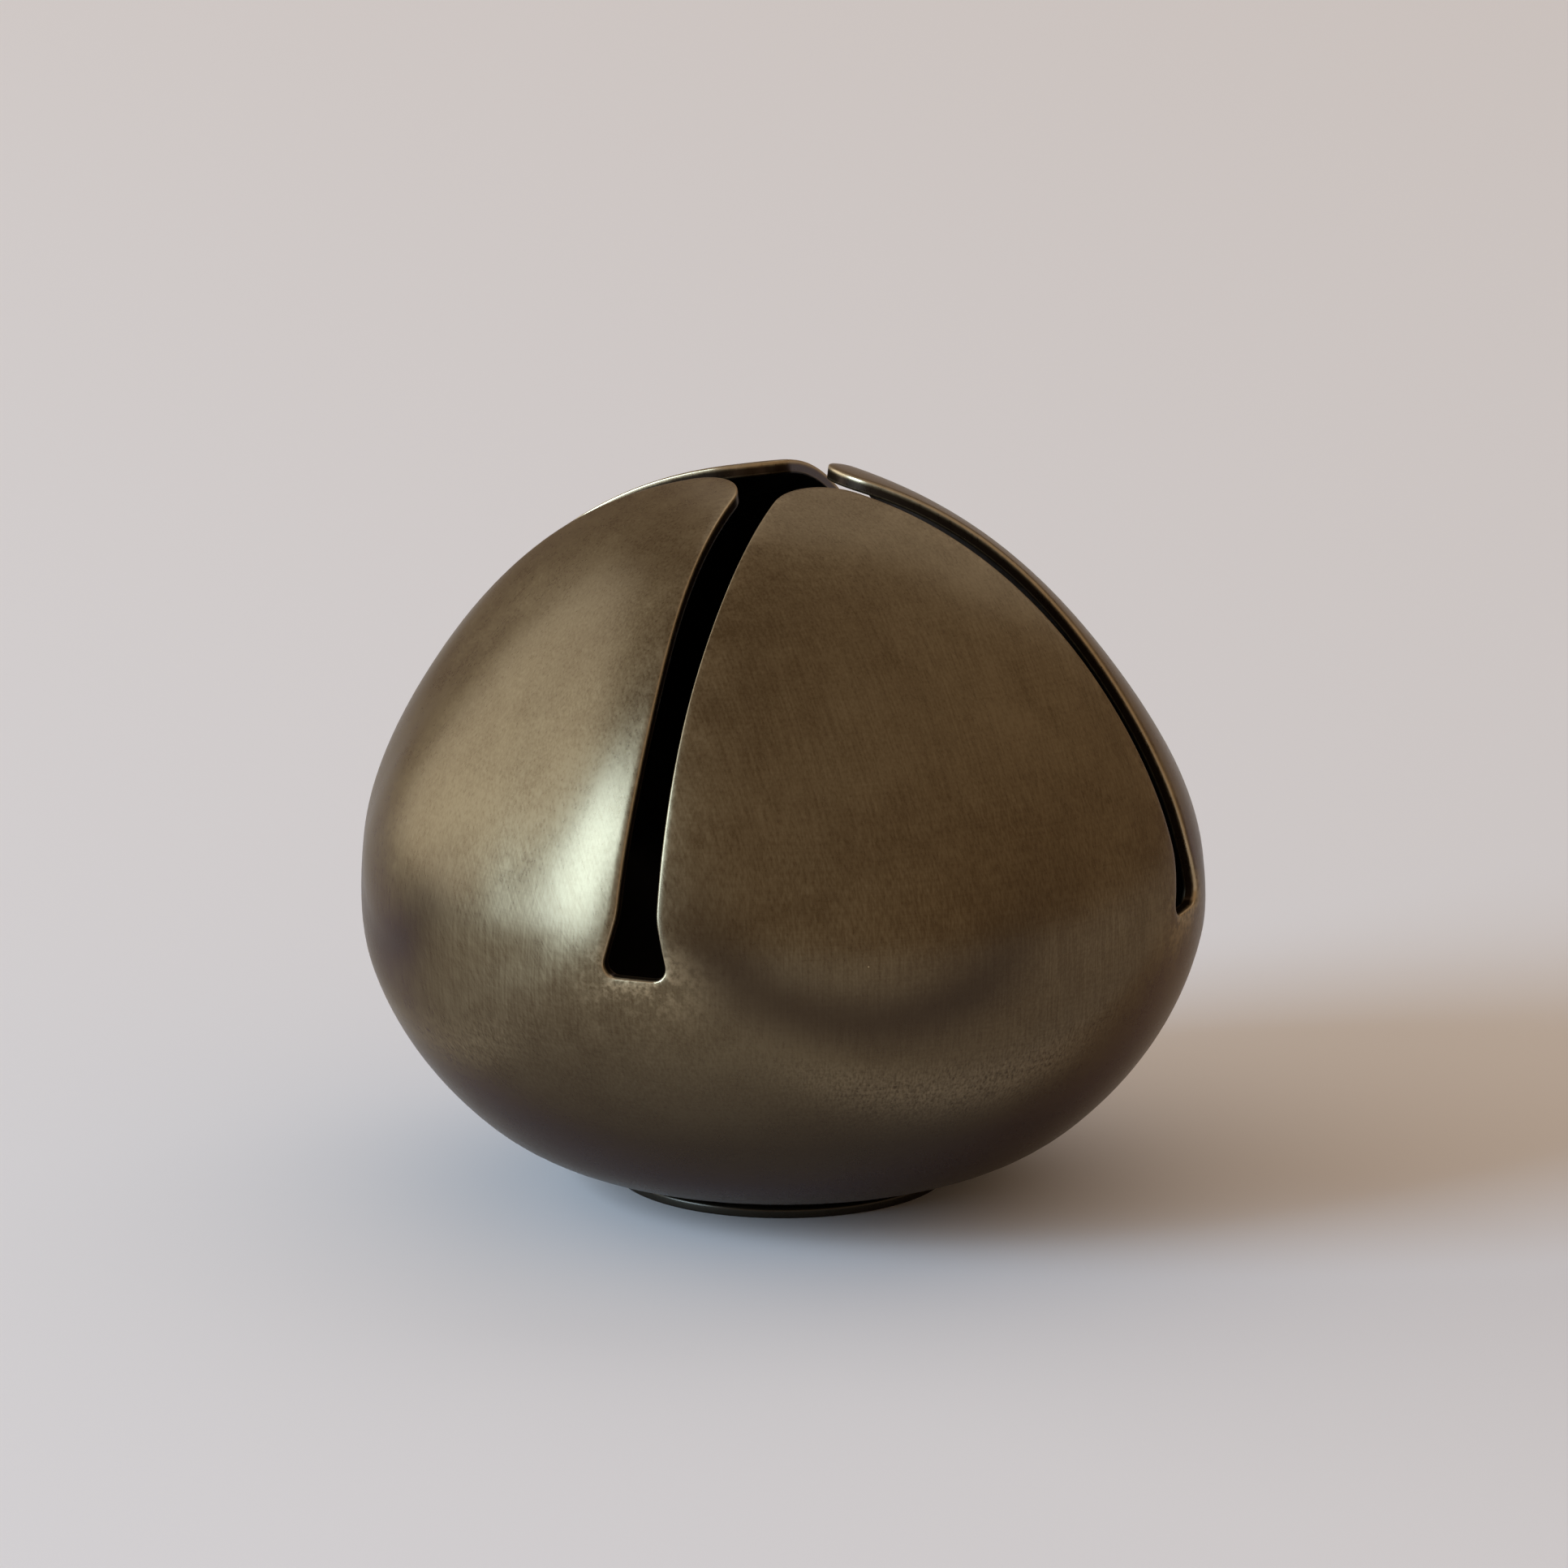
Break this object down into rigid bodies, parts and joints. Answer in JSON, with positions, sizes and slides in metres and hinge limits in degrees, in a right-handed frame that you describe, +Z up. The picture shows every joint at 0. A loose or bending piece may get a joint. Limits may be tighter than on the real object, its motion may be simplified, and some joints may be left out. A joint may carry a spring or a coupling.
{
  "type": "place card holder",
  "caption": "Round bell turned slots upwards on a dished foot; a card stands upright in its crossed slots while a loose pellet rolls inside.",
  "frame": {"origin": "centre of the foot, at the level of the table", "axes": "+Z up along the bell's axis; the four slots point along +X, -X, +Y and -Y; the slot whose closed end faces the viewer most directly is -Y"},
  "size_m": [0.06, 0.06, 0.0506],
  "materials": {
    "aged_brass": "dark aged satin with fine grain, worn brighter along the cut edges",
    "foot_brass": "dark aged satin",
    "rivet_brass": "plain satin",
    "pellet_steel": "dull tumbled"
  },
  "bodies": {
    "holder": {"bell_shell": "aged_brass", "foot_plate": "foot_brass", "foot_rivet": "rivet_brass", "rivet_washer": "rivet_brass"},
    "pellet": {"pellet": "pellet_steel"}
  },
  "joints": [
    {"name": "pellet_orbit", "type": "hinge", "parent": "holder", "child": "pellet", "pos_m": [0, 0, 0.00765], "axis": [0, 0, 1], "continuous": true}
  ]
}
